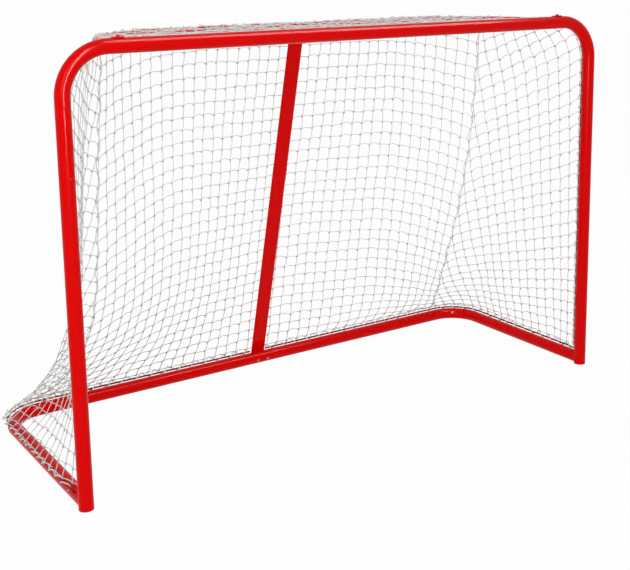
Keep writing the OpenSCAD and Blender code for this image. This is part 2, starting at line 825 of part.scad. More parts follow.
// The lacing of the back and of the shelf starts beside the centre bar
lace_start = 2;
module right_back_lacing_body() {
    color(net_white) wound([for (k = [lace_start : half_cols * lace_rings - 1])
        let (x = base_edge(back_base(k / lace_rings))[0], c = base_curl(k))
        [x, back_y + base_net_out + c[0], net_foot_z + c[1]]], [0, 0, 1]);
}

module right_back_lacing() {
    right_back_lacing_body();
}

module left_back_lacing() {
    left() right_back_lacing_body();
}

// It passes the rod at even distance, and the net wherever the net's lower edge runs
module right_base_lacing_body() {
    function on_rod(d, a, c) =
        let (r = base_corner_r + base_net_out + c[0], past = max(0, d - base_arm_run - base_arc_run))
        [corner_mid[0] + r * cos(a) - past, corner_mid[1] + r * sin(a) - max(0, base_arm_run - d),
            net_foot_z + c[1]];
    function on_net(i, a, c) =
        lerp(base_edge(side_base(floor(i))), base_edge(side_base(ceil(i))), i - floor(i))
            + [c[0] * cos(a), c[0] * sin(a), c[1]];
    color(net_white) wound([for (k = [lace_rings : side_cols * lace_rings - 1])
        let (i = k / lace_rings, d = side_base(i), c = base_curl(k), q = k % lace_rings,
            a = min(90, max(0, d - base_arm_run) / base_arc_run * 90))
        q > 1 && q < lace_rings - 1 ? on_net(i, a, c) : on_rod(d, a, c)], [0, 0, 1]);
}

module right_base_lacing() {
    right_base_lacing_body();
}

module left_base_lacing() {
    left() right_base_lacing_body();
}

// Round the shelf bar and the two nets that meet on it
shelf_lace_r = (shelf_net_out + net_corner + net_gap + lace_r) / cos(180 / lace_rings);
module right_shelf_lacing_body() {
    color(net_white) wound([for (k = [lace_start : half_cols * lace_rings - 1])
        let (q = shelf_station(k / lace_rings),
            p = on_shelf(q, shelf_r, bar_z),
            a = min(90, q / (PI / 2 * shelf_r) * 90),
            w = 360 * k / lace_rings + 225,
            c = shelf_lace_r * cos(w))
        [p[0] + c * cos(a), p[1] + c * sin(a), bar_z + shelf_lace_r * sin(w)]], [0, 0, 1]);
}

module right_shelf_lacing() {
    right_shelf_lacing_body();
}

module left_shelf_lacing() {
    left() right_shelf_lacing_body();
}

// Screws and bolts ----------------------------------------------------------------

// A pan-head screw along Z: the head stands on the surface at zero
module screw(l, d, head_d, head_h) {
    dome = head_h / 2;
    translate([0, 0, 0.2]) cylinder(d = head_d, h = head_h - dome);
    translate([0, 0, 0.2 + head_h - dome]) cylinder(d1 = head_d, d2 = head_d - 2 * dome, h = dome - 0.2);
    translate([0, 0, -l]) cylinder(d = d, h = l + head_h / 2);
}

module tube_screw() {
    color(zinc) screw(tube_wall + sleeve_gap + sleeve_wall + 3, screw_d, screw_head_d, screw_head_h);
}

module post_screws() {
    at_post_screws() tube_screw();
}

module crossbar_screws() {
    at_crossbar_screws() tube_screw();
}

module base_corner_screws() {
    at_base_corner_screws() tube_screw();
}

module shelf_leg_screws() {
    at_shelf_leg_screws() tube_screw();
}

module shelf_centre_screws() {
    at_shelf_centre_screws() color(zinc)
        screw(bar_end_t + bar_gap + shelf_wall + 4, screw_d, screw_head_d, screw_head_h);
}

module bracket_bolts() {
    at_bracket_bolts() color(zinc)
        screw(saddle_t + tube_wall + 6, bracket_bolt_d, bracket_head_d, bracket_head_h);
}

module base_centre_bolts() {
    at_base_centre_bolts() color(zinc)
        screw(tube_d + bar_gap + bar_end_t + nut_h + 1, screw_d, screw_head_d, screw_head_h);
}

module base_centre_nuts() {
    at_base_centre_bolts() color(zinc)
        translate([0, 0, -tube_d - bar_gap - bar_end_t - weld_gap - nut_h]) difference() {
            cylinder(d = nut_w / cos(30), h = nut_h, $fn = 6);
            translate([0, 0, -1]) cylinder(r = screw_r + 0.05, h = nut_h + 2);
        }
}

left_post();
right_post();
left_top_corner();
right_top_corner();
crossbar();
left_base_arm();
right_base_arm();
left_back_tube();
right_back_tube();
left_shelf_bar();
right_shelf_bar();
left_shelf_bracket();
right_shelf_bracket();
centre_bar();
left_post_sleeve();
right_post_sleeve();
left_crossbar_sleeve();
right_crossbar_sleeve();
left_base_sleeve();
right_base_sleeve();
base_centre_sleeve();
shelf_sleeve();
left_foot_plug();
right_foot_plug();
left_post_rod();
right_post_rod();
crossbar_rod();
left_base_rod();
right_base_rod();
left_back_rod();
right_back_rod();
left_net();
right_net();
back_net();
roof_net();
left_post_lacing();
right_post_lacing();
crossbar_lacing();
left_base_lacing();
right_base_lacing();
left_back_lacing();
right_back_lacing();
left_shelf_lacing();
right_shelf_lacing();
post_screws();
crossbar_screws();
base_corner_screws();
shelf_leg_screws();
shelf_centre_screws();
bracket_bolts();
base_centre_bolts();
base_centre_nuts();
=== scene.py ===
"""Ice hockey goal: painted tube frame, knotted net, lacing, on a pale studio floor."""

import math

import bpy
import numpy as np
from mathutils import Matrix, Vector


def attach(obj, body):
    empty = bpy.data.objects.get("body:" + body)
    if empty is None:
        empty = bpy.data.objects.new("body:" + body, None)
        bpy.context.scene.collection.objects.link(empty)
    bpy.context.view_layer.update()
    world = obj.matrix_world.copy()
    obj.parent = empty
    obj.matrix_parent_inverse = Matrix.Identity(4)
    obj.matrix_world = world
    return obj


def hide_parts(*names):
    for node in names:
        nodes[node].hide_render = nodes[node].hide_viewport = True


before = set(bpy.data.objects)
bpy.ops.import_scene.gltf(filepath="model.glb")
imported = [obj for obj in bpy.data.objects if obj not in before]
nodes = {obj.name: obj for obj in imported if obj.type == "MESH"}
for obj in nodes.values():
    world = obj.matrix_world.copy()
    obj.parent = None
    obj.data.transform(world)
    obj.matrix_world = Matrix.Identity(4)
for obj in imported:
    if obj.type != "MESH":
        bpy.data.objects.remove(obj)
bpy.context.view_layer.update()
rng = np.random.default_rng(7)

# Frame sizes in metres, as the solids have them
POST_Y = -0.3572
HALF_W = 0.93525
BAR_Z = 1.23975
BASE_Z = 0.02075
CORNER_R = 0.127
BASE_DEPTH = 0.700
BASE_CORNER_R = 0.115
SHELF_TUBE_R = 0.0125
SHELF_HALF = 0.780
SHELF_R = 0.340
SHELF_DEPTH = 0.410
ROD_STAND = 0.02875
CROSSBAR_ROD = (0.024648, 0.0148)
BASE_ROD_OFF = 0.0203293
NET_BACK = 0.0348784
NET_OUT = 0.0295
NET_UP = 0.0265
SHELF_NET_OUT = 0.015213
ROOF_FRONT = 0.029948
ROOF_Z = 1.25455
BACK_Y = POST_Y + BASE_DEPTH
SHELF_Y = POST_Y + SHELF_DEPTH
CORNER_X = HALF_W - BASE_CORNER_R
CORNER_Y = BACK_Y - BASE_CORNER_R
SHELF_X = SHELF_HALF - SHELF_R
SHELF_BEND_Y = SHELF_Y - SHELF_R

# Net and lacing: twine, mesh and how the net hangs
TWINE_R = 0.0013
KNOT_R = 0.0026
KNOT_CORD_R = 0.00125
MESH_UP = 0.0412
MESH_UP_SEAM = 0.0435
MESH_UP_POST = 0.0440
SEAM_DROP = 0.040
BACK_CELLS = 38
ROWS = 34
SIDE_COLUMNS = 23
ROOF_HALF_CELLS = 20
ROOF_ROWS = 12
ROOF_MESH = (0.0382, 0.039)
STATIONS = np.linspace(0, 1, 101)
STRAY = 0.0013
SHORTEST_TWINE = 0.004
KNOT_MARGIN = 0.003
TWINE_SIDES = 5
TWINE_POINTS = 5
KNOT_SIDES = 4
KNOT_POINTS = 8
LACE_R = 0.0016
LACE_HOLD = 0.0046
LACE_SIDES = 6
SEAM_CORD_R = 0.0013
SEAM_WEAVE = 0.006
SAG = 0.22
BELLY = 0.02
SWAY = 0.044

FOOT_Z = BASE_Z + NET_UP
ARM_RUN = BASE_DEPTH - BASE_CORNER_R - NET_BACK
EDGE_R = BASE_CORNER_R + NET_OUT
ARC_RUN = math.pi / 2 * EDGE_R
SEAM_RUN = ARM_RUN + ARC_RUN + 0.002
HALF_RUN = ARM_RUN + ARC_RUN + CORNER_X
POST_RUN = BAR_Z - CORNER_R - FOOT_Z
FRONT_RUN = POST_RUN + math.pi / 2 * CORNER_R
TOP_R = SHELF_R + SHELF_NET_OUT
TOP_ARC_RUN = math.pi / 2 * TOP_R


# Curves and surfaces --------------------------------------------------------

def mix(a, b, t):
    """The point a share t of the way from a to b."""
    return a + (b - a) * t


def unit(v):
    """v with length one."""
    return v / np.maximum(np.linalg.norm(v, axis=-1, keepdims=True), 1e-9)


def base_edge(d):
    """The net's lower edge on the right at distance d: back along the arm, a quarter circle
    round the corner, then to the middle."""
    d = np.asarray(d, float)
    turn = np.clip((d - ARM_RUN) / ARC_RUN, 0, 1) * math.pi / 2
    x = CORNER_X + EDGE_R * np.cos(turn) - np.maximum(d - ARM_RUN - ARC_RUN, 0)
    y = CORNER_Y - np.maximum(ARM_RUN - d, 0) + EDGE_R * np.sin(turn)
    return np.stack([x, y, np.full_like(x, FOOT_Z)], -1)


def front_edge(d):
    """The net's front edge on the right at distance d: up the post, then round the top corner."""
    d = np.asarray(d, float)
    turn = np.maximum(0, d - POST_RUN) / CORNER_R
    x = HALF_W - CORNER_R + CORNER_R * np.cos(turn)
    z = np.minimum(d, POST_RUN) + FOOT_Z + CORNER_R * np.sin(turn)
    return np.stack([x, np.full_like(x, POST_Y + NET_BACK), z], -1)


TOP_START = front_edge(np.array(FRONT_RUN))
SHELF_START = np.array([SHELF_X + TOP_R, SHELF_BEND_Y, BAR_Z])
LEG_RUN = float(np.linalg.norm(SHELF_START - TOP_START))
TOP_SEAM = LEG_RUN + TOP_ARC_RUN * 0.47
TOP_HALF = LEG_RUN + TOP_ARC_RUN + SHELF_X


def top_edge(d):
    """The net's upper edge on the right at distance d: along the shelf bar's leg, round its
    bend, then to the middle."""
    d = np.asarray(d, float)[..., None]
    turn = np.clip((d - LEG_RUN) / TOP_ARC_RUN, 0, 1) * math.pi / 2
    bend = np.concatenate([SHELF_X + TOP_R * np.cos(turn) - np.maximum(d - LEG_RUN - TOP_ARC_RUN, 0),
                           SHELF_BEND_Y + TOP_R * np.sin(turn), np.full_like(d, BAR_Z)], -1)
    return np.where(d < LEG_RUN, mix(TOP_START, SHELF_START, d / LEG_RUN), bend)


SEAM_FALL = (base_edge(SEAM_RUN) - top_edge(TOP_SEAM)) * np.array([1, 1, 0])
SAG_AT_SEAM = -unit(SEAM_FALL)
ACROSS_SEAM = np.array([-SAG_AT_SEAM[1], SAG_AT_SEAM[0], 0])


def hang(t, wall, share):
    """How far the net hangs in at share t of its height: it leans in more and more on the way
    down, then sweeps out to the base. The way it hangs turns from square to its wall to that
    of the seam (share 1), where it also sways to the side in its lower half."""
    s = np.clip(1 - t, 0, 1)
    depth = SAG * s * (1 - s ** 6) + BELLY * np.sin(math.pi * s)
    return depth * unit(mix(wall, SAG_AT_SEAM, share)) - SWAY * share * np.sin(math.pi * s ** 3) * ACROSS_SEAM


def side_surface(w, t, slack=1.5):
    """The right side net: straight lines from the lower edge to the upper one, bowed at the
    front to follow the post and the corner. It hangs in towards the seam (w 1) by a power of
    w, the slack; the lower that is, the flatter it is between post and seam."""
    foot, head = base_edge(w * SEAM_RUN), top_edge(w * TOP_SEAM)
    w, t = w[..., None], t[..., None]
    bow = front_edge(t[..., 0] * FRONT_RUN) - mix(front_edge(0), front_edge(FRONT_RUN), t)
    lead = (1 - t) * np.maximum(0, 1 - 7 * w) * (front_edge(0) - base_edge(0))
    return mix(foot, head, t) + (1 - w) ** 2 * bow + lead + w ** slack * hang(t, np.array([-1.0, 0, 0]), w)


def back_surface(u, t):
    """The right half of the back net: straight lines from the lower edge to the upper one,
    flat behind the centre bar (u 0) and hanging in towards the seam (u 1)."""
    foot = base_edge(mix(HALF_RUN, SEAM_RUN, u))
    head = top_edge(np.interp(u * 7, [0, 4, 7], [TOP_HALF, LEG_RUN + TOP_ARC_RUN, TOP_SEAM]))
    u, t = u[..., None], t[..., None]
    share = np.clip(u / 0.9, 0, 1)
    return mix(foot, head, t) + share ** 2 * (3 - 2 * share) * hang(t, np.array([0, -1.0, 0]), u)


def roof_surface(a, b):
    """The roof net: flat and level, a metres across and b metres behind its front edge, with a
    slight dip."""
    dip = 0.006 * np.sin(np.clip(b / 0.37, 0, 1) * math.pi)
    return np.stack([a, POST_Y + ROOF_FRONT + b, ROOF_Z - dip], -1)


def roof_rear(a):
    """Depth of the roof at a metres from the middle: to the shelf bar, round its bend."""
    over = np.clip(np.abs(a) - SHELF_X, 0, SHELF_R)
    return SHELF_BEND_Y + np.sqrt(SHELF_R ** 2 - over ** 2) - POST_Y - ROOF_FRONT


# Mesh tools -------------------------------------------------------------------

def make_piece(name, verts, faces, uv, shade, material, slot, replaced=()):
    """A mesh object from whole arrays: vertices, four-sided faces, one UV per face corner and
    the shade value of each vertex."""
    mesh = bpy.data.meshes.new(name)
    mesh.vertices.add(len(verts))
    mesh.vertices.foreach_set("co", verts.astype(np.float32).ravel())
    mesh.loops.add(faces.size)
    mesh.loops.foreach_set("vertex_index", faces.astype(np.int32).ravel())
    mesh.polygons.add(len(faces))
    mesh.polygons.foreach_set("loop_start", np.arange(0, faces.size, 4, dtype=np.int32))
    mesh.polygons.foreach_set("use_smooth", np.ones(len(faces), bool))
    mesh.uv_layers.new(name="UVMap").data.foreach_set("uv", uv.astype(np.float32).ravel())
    mesh.attributes.new("shade", "FLOAT", "POINT").data.foreach_set("value", shade.astype(np.float32))
    mesh.update(calc_edges=True)
    mesh.validate()
    piece = bpy.data.objects.new(name, mesh)
    bpy.context.scene.collection.objects.link(piece)
    mesh.materials.append(material)
    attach(piece, "root")
    if replaced:
        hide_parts(*replaced)
    return piece


def tubes(paths, radius, sides, closed=False):
    """Round tubes along many paths of the same number of points (paths, points, 3). Each ring
    is a circle square to the path. The ends of a path that isn't closed stay open, without a
    cap. The UV runs along the tube in metres and once round it."""
    count, points, _ = paths.shape
    if closed:
        ahead = np.roll(paths, -1, 1) - np.roll(paths, 1, 1)
    else:
        ahead = np.gradient(paths, axis=1)
    ahead = unit(ahead)
    hint = np.where(np.abs(ahead[..., 2:3]) > 0.8, np.array([1.0, 0.3, 0]), np.array([0.2, 0.1, 1.0]))
    if not closed:
        hint = np.broadcast_to(hint[:, :1], ahead.shape)
    side = unit(np.cross(ahead, hint))
    up = np.cross(side, ahead)
    angle = np.arange(sides) / sides * 2 * math.pi
    ring = side[:, :, None] * np.cos(angle)[:, None] + up[:, :, None] * np.sin(angle)[:, None]
    verts = paths[:, :, None] + ring * radius
    rings = points if closed else points - 1
    r, s = np.meshgrid(np.arange(rings), np.arange(sides), indexing="ij")
    r2, s2 = (r + 1) % points, (s + 1) % sides
    face = np.stack([r * sides + s, r * sides + s2, r2 * sides + s2, r2 * sides + s], -1).reshape(-1, 4)
    face = face[:, ::-1]
    faces = (np.arange(count)[:, None, None] * points * sides + face[None]).reshape(-1, 4)
    run = np.concatenate([np.zeros((count, 1)), np.cumsum(np.linalg.norm(
        np.roll(paths, -1, 1) - paths, axis=-1), 1)], 1)
    low, high = run[:, r.ravel()], run[:, r.ravel() + 1]
    around = np.broadcast_to(s.ravel() / sides, low.shape)
    wide = 1 / sides
    uv = np.stack([np.stack([high, around], -1), np.stack([high, around + wide], -1),
                   np.stack([low, around + wide], -1), np.stack([low, around], -1)], 2).reshape(-1, 2)
    return verts.reshape(-1, 3), faces, uv


def joined(parts):
    """Several (vertices, faces, uv, shade) sets as one."""
    starts = np.cumsum([0] + [len(p[0]) for p in parts])
    return (np.concatenate([p[0] for p in parts]),
            np.concatenate([p[1] + s for p, s in zip(parts, starts)]),
            np.concatenate([p[2] for p in parts]),
            np.concatenate([p[3] for p in parts]))


def runs(points):
    """Length from the first point of each column of points (points, columns, 3)."""
    steps = np.linalg.norm(np.diff(points, axis=0), axis=2)
    return np.concatenate([np.zeros((1, points.shape[1])), np.cumsum(steps, 0)], 0)


def points_at(at, run, points):
    """Points at the lengths at of one path, whose own points lie at the lengths run."""
    return np.stack([np.interp(at, run, points[:, k]) for k in range(3)], -1)


def along(path, count):
    """count points evenly spaced along a path."""
    run = np.concatenate([[0], np.cumsum(np.linalg.norm(np.diff(path, axis=0), axis=1))])
    return points_at(np.linspace(0, run[-1], count), run, path)


def length(path):
    """Length of a path."""
    return float(np.linalg.norm(np.diff(path, axis=0), axis=1).sum())


# Net panels ---------------------------------------------------------------------

def bars(p0, p1, m0, m1, bulge, arch, lean, shade0, shade1):
    """The twines between neighbouring knots as curved paths. A twine that
    crosses the panel's edge ends there; one wholly outside is left out. Each is bowed by arch
    towards bulge, most of it a little after its start."""
    keep = (m0 > 0) | (m1 > 0)
    p0, p1, m0, m1, bulge = p0[keep], p1[keep], m0[keep], m1[keep], bulge[keep]
    shade0, shade1 = shade0[keep], shade1[keep]
    share0 = np.where(m0 < 0, -m0 / (m1 - m0 + 1e-9), 0)[:, None]
    share1 = np.where(m1 < 0, m0 / (m0 - m1 + 1e-9), 1)[:, None]
    a, b = mix(p0, p1, share0), mix(p0, p1, share1)
    size = np.linalg.norm(b - a, axis=1)
    long = size > SHORTEST_TWINE
    a, b, bulge, size = a[long], b[long], bulge[long], size[long]
    shade0, shade1 = shade0[long], shade1[long]
    t = np.linspace(0, 1, TWINE_POINTS)
    hump = np.sin(math.pi * t ** lean) * arch
    amount = size[:, None] * rng.normal(1, 0.35, (len(a), 1)) * hump
    out = unit(np.cross(b - a, bulge))
    stray = rng.normal(0, 0.02, (len(a), 1)) * size[:, None] * np.sin(math.pi * t)
    paths = mix(a[:, None], b[:, None], t[:, None])
    paths = paths + amount[..., None] * bulge[:, None] + stray[..., None] * out[:, None]
    verts, faces, uv = tubes(paths, TWINE_R, TWINE_SIDES)
    # Painted shade: each twine darker next to the knots at both ends, and more towards its far end.
    ends = np.abs(2 * t - 1) ** 6
    value = mix(shade0[:, None], shade1[:, None], t) * (0.5 + 0.5 * t ** 2) + 0.2 * ends
    return verts, faces, uv, np.repeat(value.ravel(), TWINE_SIDES)


def knots(at, across, up, shade):
    """Knots as one closed cord each: a ring that rises and falls twice, over one twine and
    under the other, a little turned and sized at random."""
    turn = rng.uniform(-0.6, 0.6, (len(at), 1)) + math.pi / 4
    e1, e2 = unit(across), unit(up)
    out = unit(np.cross(e1, e2))
    e2 = np.cross(out, e1)
    angle = np.arange(KNOT_POINTS) / KNOT_POINTS * 2 * math.pi
    size = rng.uniform(0.85, 1.2, (len(at), 1, 1)) * KNOT_R
    ring = np.cos(angle + turn)[..., None] * e1[:, None] * 1.15 + np.sin(angle + turn)[..., None] * e2[:, None]
    lift = np.sin(2 * angle)[None, :, None] * out[:, None]
    paths = at[:, None] + size * ring + 0.6 * size * lift
    verts, faces, uv = tubes(paths, KNOT_CORD_R, KNOT_SIDES, closed=True)
    return verts, faces, uv, np.repeat(shade, KNOT_POINTS * KNOT_SIDES)


def panel(knot, margin, shade):
    """Twines and knots of one net panel from its grid of knots (columns, rows, 3), how far
    each lies inside the panel's edge, and its shade."""
    across = np.gradient(knot, axis=0)
    up = np.gradient(knot, axis=1)
    flat = lambda x: x.reshape(-1, *x.shape[2:])
    side = [knot[:-1], knot[1:], margin[:-1], margin[1:], unit(up)[:-1], shade[:-1], shade[1:]]
    rise = [knot[:, :-1], knot[:, 1:], margin[:, :-1], margin[:, 1:], unit(across)[:, :-1],
            shade[:, :-1], shade[:, 1:]]
    a, b = [flat(x) for x in side], [flat(x) for x in rise]
    inside = margin.ravel() > KNOT_MARGIN
    # Painted shade: the knots come out darker than the twines.
    knot_shade = 0.3 + 0.5 * shade.ravel()[inside]
    return joined([
        bars(*a[:5], 0.11, 0.75, *a[5:]),
        bars(*b[:5], 0.05, 1.0, *b[5:]),
        knots(flat(knot)[inside], flat(across)[inside], flat(up)[inside], knot_shade),
    ])


def loosened(knot):
    """The knots moved a little in and out of the net: broad waves and a random part."""
    across, up = np.gradient(knot, axis=0), np.gradient(knot, axis=1)
    x, z = knot[..., 0], knot[..., 2]
    wave = 0.0035 * np.sin(9 * x + 5 * z + 1) * np.cos(7 * z - 3 * x)
    out = unit(np.cross(across, up))
    r = rng.normal(0, STRAY, knot.shape)
    sideways = unit(across) * (r[..., :1] + 0.4 * wave[..., None])
    return knot + sideways + unit(up) * (r[..., 1:2] + wave[..., None]) + out * r[..., 2:]


def rows_of(surface, pitches, level):
    """Points where a panel's rows cross its stations, and how far each lies below the upper
    edge. The first and the last station, the seam, have a pitch each, a little more
    further up, and at the seam the rows start lower. Between them they run level for a share
    of the way, then fall evenly."""
    t = np.linspace(0, 1.2, 241)
    grid = surface(*np.meshgrid(STATIONS[[0, -1]], t, indexing="ij"))
    run = runs(grid.swapaxes(0, 1)).T
    lift = np.arange(ROWS) * (0.965 + 0.0015 * np.arange(ROWS))
    ends = np.array([np.interp(lift * m - low, r, t) for r, m, low in zip(run, pitches, (0, SEAM_DROP))])
    way = np.clip((STATIONS - level) / (1 - level), 0, 1)[:, None] ** (1 + level)
    share = mix(ends[:1], ends[1:], way)
    whole = mix(*(np.interp(1.0, t, r) for r in run), way)
    return surface(np.broadcast_to(STATIONS[:, None], share.shape), share), (1 - share) * whole


def side_panel(mirror):
    """Knots of a side net. Its cells are counted back from the post, and more of them fit
    between post and seam further down, so the seam cuts across the columns."""
    slack = 0.6 if mirror else 1.5
    surface = lambda w, t: side_surface(w, t, slack)
    points, below = rows_of(surface, (MESH_UP_POST, MESH_UP_SEAM), 0)
    seam_at = len(STATIONS) - 1
    beyond = points[-1:] + (points[-1:] - points[-2:-1]) * np.arange(1, 21)[:, None, None]
    points = np.concatenate([points, beyond])
    below = np.concatenate([below, np.repeat(below[-1:], 20, 0)])
    run = runs(points)
    knot = np.empty((SIDE_COLUMNS, ROWS, 3))
    margin = np.empty((SIDE_COLUMNS, ROWS))
    for j in range(ROWS):
        drop = np.clip((BAR_Z - points[seam_at, j, 2]) / (BAR_Z - FOOT_Z), 0, 1)
        step = run[seam_at, j] / (8.3 + 5.1 * drop + 5.1 * drop ** 2)
        back = np.arange(SIDE_COLUMNS) * step
        knot[:, j] = points_at(back, run[:, j], points[:, j])
        margin[:, j] = np.minimum(run[seam_at, j] - back, np.interp(back, run[:, j], below[:, j]))
    knot = loosened(knot)
    if mirror:
        knot[..., 0] *= -1
    # Painted shade: slightly darker all over and more so towards the bottom.
    low = np.clip(1 - knot[..., 2] / 0.5, 0, 1)
    return knot, margin, 0.12 + 0.2 * low


def back_panel():
    """Knots of the back net: columns at equal steps from seam to seam."""
    points, below = rows_of(back_surface, (MESH_UP, MESH_UP_SEAM), 0.5)
    points = np.concatenate([points[:0:-1] * np.array([-1, 1, 1]), points])
    below = np.concatenate([below[:0:-1], below])
    run = runs(points)
    knot = np.empty((BACK_CELLS + 1, ROWS, 3))
    margin = np.empty((BACK_CELLS + 1, ROWS))
    for j in range(ROWS):
        at = np.linspace(0, run[-1, j], BACK_CELLS + 1)
        knot[:, j] = points_at(at, run[:, j], points[:, j])
        margin[:, j] = np.interp(at, run[:, j], below[:, j])
    loose = loosened(knot)
    knot[1:-1, 1:] = loose[1:-1, 1:]
    # Painted shade: slightly darker all over, more towards the bottom, and most in the lower left.
    low = np.clip(1 - knot[..., 2] / 0.5, 0, 1)
    left = np.clip(0.4 - 1.4 * knot[..., 0], 0, 1)
    return knot, margin, 0.12 + (0.15 + 0.9 * left) * low


def roof_panel():
    """Knots of the roof net: a square grid cut where it meets the shelf bar."""
    across = np.arange(-ROOF_HALF_CELLS, ROOF_HALF_CELLS + 1) * ROOF_MESH[0]
    back = np.arange(ROOF_ROWS) * ROOF_MESH[1]
    a, b = np.meshgrid(across, back, indexing="ij")
    knot = roof_surface(a, b)
    margin = roof_rear(a) - b
    loose = loosened(knot)
    knot[:, 1:] = loose[:, 1:]
    # Painted shade: the same slight darkening all over the roof net.
    return knot, margin, np.full(a.shape, 0.2)


# Lacing ---------------------------------------------------------------------------

def wound(rod, edge, pitch, hold, squeeze=0.0047):
    """A cord wound round a rod and the net's edge beside it: ovals that take in both, moving
    one pitch along for each turn."""
    count = max(60, int(length(rod) / pitch) * 14 + 1)
    a, b = along(rod, count), along(edge, count)
    ahead = unit(np.gradient(a, axis=0))
    lean = b - a
    lean -= ahead * np.sum(lean * ahead, 1, keepdims=True)
    reach = np.linalg.norm(lean, axis=1, keepdims=True) / 2
    lean = unit(lean)
    cross = np.cross(ahead, lean)
    turns = int(length(rod) / pitch)
    angle = np.linspace(0, turns * 2 * math.pi, count)[:, None]
    wobble = 0.35 * np.sin(angle * 0.37 + 1) + 0.2 * np.sin(angle * 1.7)
    loose = 1 + 0.10 * np.sin(angle * 0.23 + 2)
    angle = angle + wobble
    path = (a + b) / 2 + lean * np.cos(angle) * (reach + hold) * loose
    return cord(path + cross * np.sin(angle) * squeeze * loose, LACE_R, LACE_SIDES, 0.3)


def cord(path, radius, sides, shade):
    """One cord along a path."""
    verts, faces, uv = tubes(path[None], radius, sides)
    return verts, faces, uv, np.full(len(verts), shade)


def mirrored(part):
    """The same set on the other side, its faces turned to point outwards."""
    verts, faces, uv, shade = part
    uv = uv.reshape(-1, 4, 2)[:, ::-1].reshape(-1, 2)
    return verts * np.array([-1, 1, 1]), faces[:, ::-1].copy(), uv, shade


# Materials ------------------------------------------------------------------------------

def group(name, ins, outs, build):
    """A shader node group with named inputs and outputs; build adds its inner nodes."""
    tree = bpy.data.node_groups.new(name, "ShaderNodeTree")
    for label, kind, value in ins:
        tree.interface.new_socket(label, in_out="INPUT", socket_type=kind).default_value = value
    for label, kind in outs:
        tree.interface.new_socket(label, in_out="OUTPUT", socket_type=kind)
    build(tree, tree.nodes.new("NodeGroupInput").outputs, tree.nodes.new("NodeGroupOutput").inputs)
    return tree


def add(tree, kind, links=(), **values):
    """A node with settings and input links."""
    n = tree.nodes.new(kind)
    for key, value in values.items():
        if hasattr(n, key):
            setattr(n, key, value)
        else:
            n.inputs[key.replace("_", " ")].default_value = value
    for key, source in dict(links).items():
        tree.links.new(source, n.inputs[key])
    return n


def math_node(tree, operation, a, b=None):
    """One arithmetic node; a and b are numbers or outputs of other nodes."""
    n = tree.nodes.new("ShaderNodeMath")
    n.operation = operation
    for socket, value in zip(n.inputs, (a, b)):
        if value is None:
            continue
        if isinstance(value, (int, float)):
            socket.default_value = value
        else:
            tree.links.new(value, socket)
    return n.outputs[0]


def blend_colour(tree, amount, first, second):
    """A colour mix; amount is an output, the colours are tuples or outputs."""
    n = tree.nodes.new("ShaderNodeMix")
    n.data_type = "RGBA"
    tree.links.new(amount, n.inputs[0])
    for socket, value in ((n.inputs[6], first), (n.inputs[7], second)):
        if isinstance(value, tuple):
            socket.default_value = (*value, 1)
        else:
            tree.links.new(value, socket)
    return n.outputs[2]


def build_film(tree, ins, outs):
    """Sprayed film: fine waves for the height, broad patches, sparse small specks."""
    place = tree.nodes.new("ShaderNodeTexCoord").outputs["Object"]
    waves = add(tree, "ShaderNodeTexNoise", {"Vector": place, "Scale": ins["Wave Scale"]}, Detail=2.0)
    patch = add(tree, "ShaderNodeTexNoise", {"Vector": place}, Scale=9.0, Detail=4.0)
    dots = add(tree, "ShaderNodeTexVoronoi", {"Vector": place, "Scale": ins["Speck Scale"]})
    near = add(tree, "ShaderNodeMapRange", {"Value": dots.outputs["Distance"]},
               From_Min=0.07, From_Max=0.12, To_Min=1.0, To_Max=0.0)
    chance = add(tree, "ShaderNodeTexNoise", {"Vector": place}, Scale=31.0, Detail=0.0)
    rare = add(tree, "ShaderNodeMapRange", {"Value": chance.outputs[0]}, From_Min=0.62, From_Max=0.7)
    tree.links.new(waves.outputs[0], outs["Height"])
    tree.links.new(patch.outputs[0], outs["Patch"])
    tree.links.new(math_node(tree, "MULTIPLY", near.outputs[0], rare.outputs[0]), outs["Speck"])


def build_strand(tree, ins, outs):
    """Twisted strands: ridges that wind round the cord, from its length and the way round it,
    with fine fibres."""
    uv = add(tree, "ShaderNodeSeparateXYZ", {0: tree.nodes.new("ShaderNodeUVMap").outputs[0]})
    wind = math_node(tree, "ADD", math_node(tree, "MULTIPLY", uv.outputs[0], ins["Twist"]),
                     math_node(tree, "MULTIPLY", uv.outputs[1], ins["Strands"]))
    ridge = math_node(tree, "ABSOLUTE", math_node(tree, "SINE", math_node(tree, "MULTIPLY", wind, math.pi)))
    place = tree.nodes.new("ShaderNodeTexCoord").outputs["Object"]
    fibre = add(tree, "ShaderNodeTexNoise", {"Vector": place}, Scale=900.0, Detail=3.0)
    broad = add(tree, "ShaderNodeTexNoise", {"Vector": place}, Scale=11.0, Detail=3.0)
    fuzz = math_node(tree, "MULTIPLY", fibre.outputs[0], 0.5)
    tree.links.new(math_node(tree, "ADD", ridge, fuzz), outs["Height"])
    tree.links.new(ridge, outs["Ridge"])
    tree.links.new(broad.outputs[0], outs["Broad"])


def floats(*labels):
    """Plain number outputs with the given labels."""
    return [(label, "NodeSocketFloat") for label in labels]


FILM = group("sprayed_film",
             [("Wave Scale", "NodeSocketFloat", 300.0), ("Speck Scale", "NodeSocketFloat", 160.0)],
             floats("Height", "Patch", "Speck"), build_film)
STRAND = group("twisted_strand", [("Twist", "NodeSocketFloat", 160.0), ("Strands", "NodeSocketFloat", 3.0)],
               floats("Height", "Ridge", "Broad"), build_strand)


def surface_material(name, **sockets):
    """A material with one Principled shader and the given plain socket values."""
    material = bpy.data.materials.new(name)
    material.use_nodes = True
    shader = material.node_tree.nodes["Principled BSDF"]
    for key, value in sockets.items():
        shader.inputs[key.replace("_", " ")].default_value = value
    return material, material.node_tree, shader


def use_group(tree, which, **values):
    """A placed node group with its own values."""
    n = tree.nodes.new("ShaderNodeGroup")
    n.node_tree = which
    for key, value in values.items():
        n.inputs[key.replace("_", " ")].default_value = value
    return n.outputs


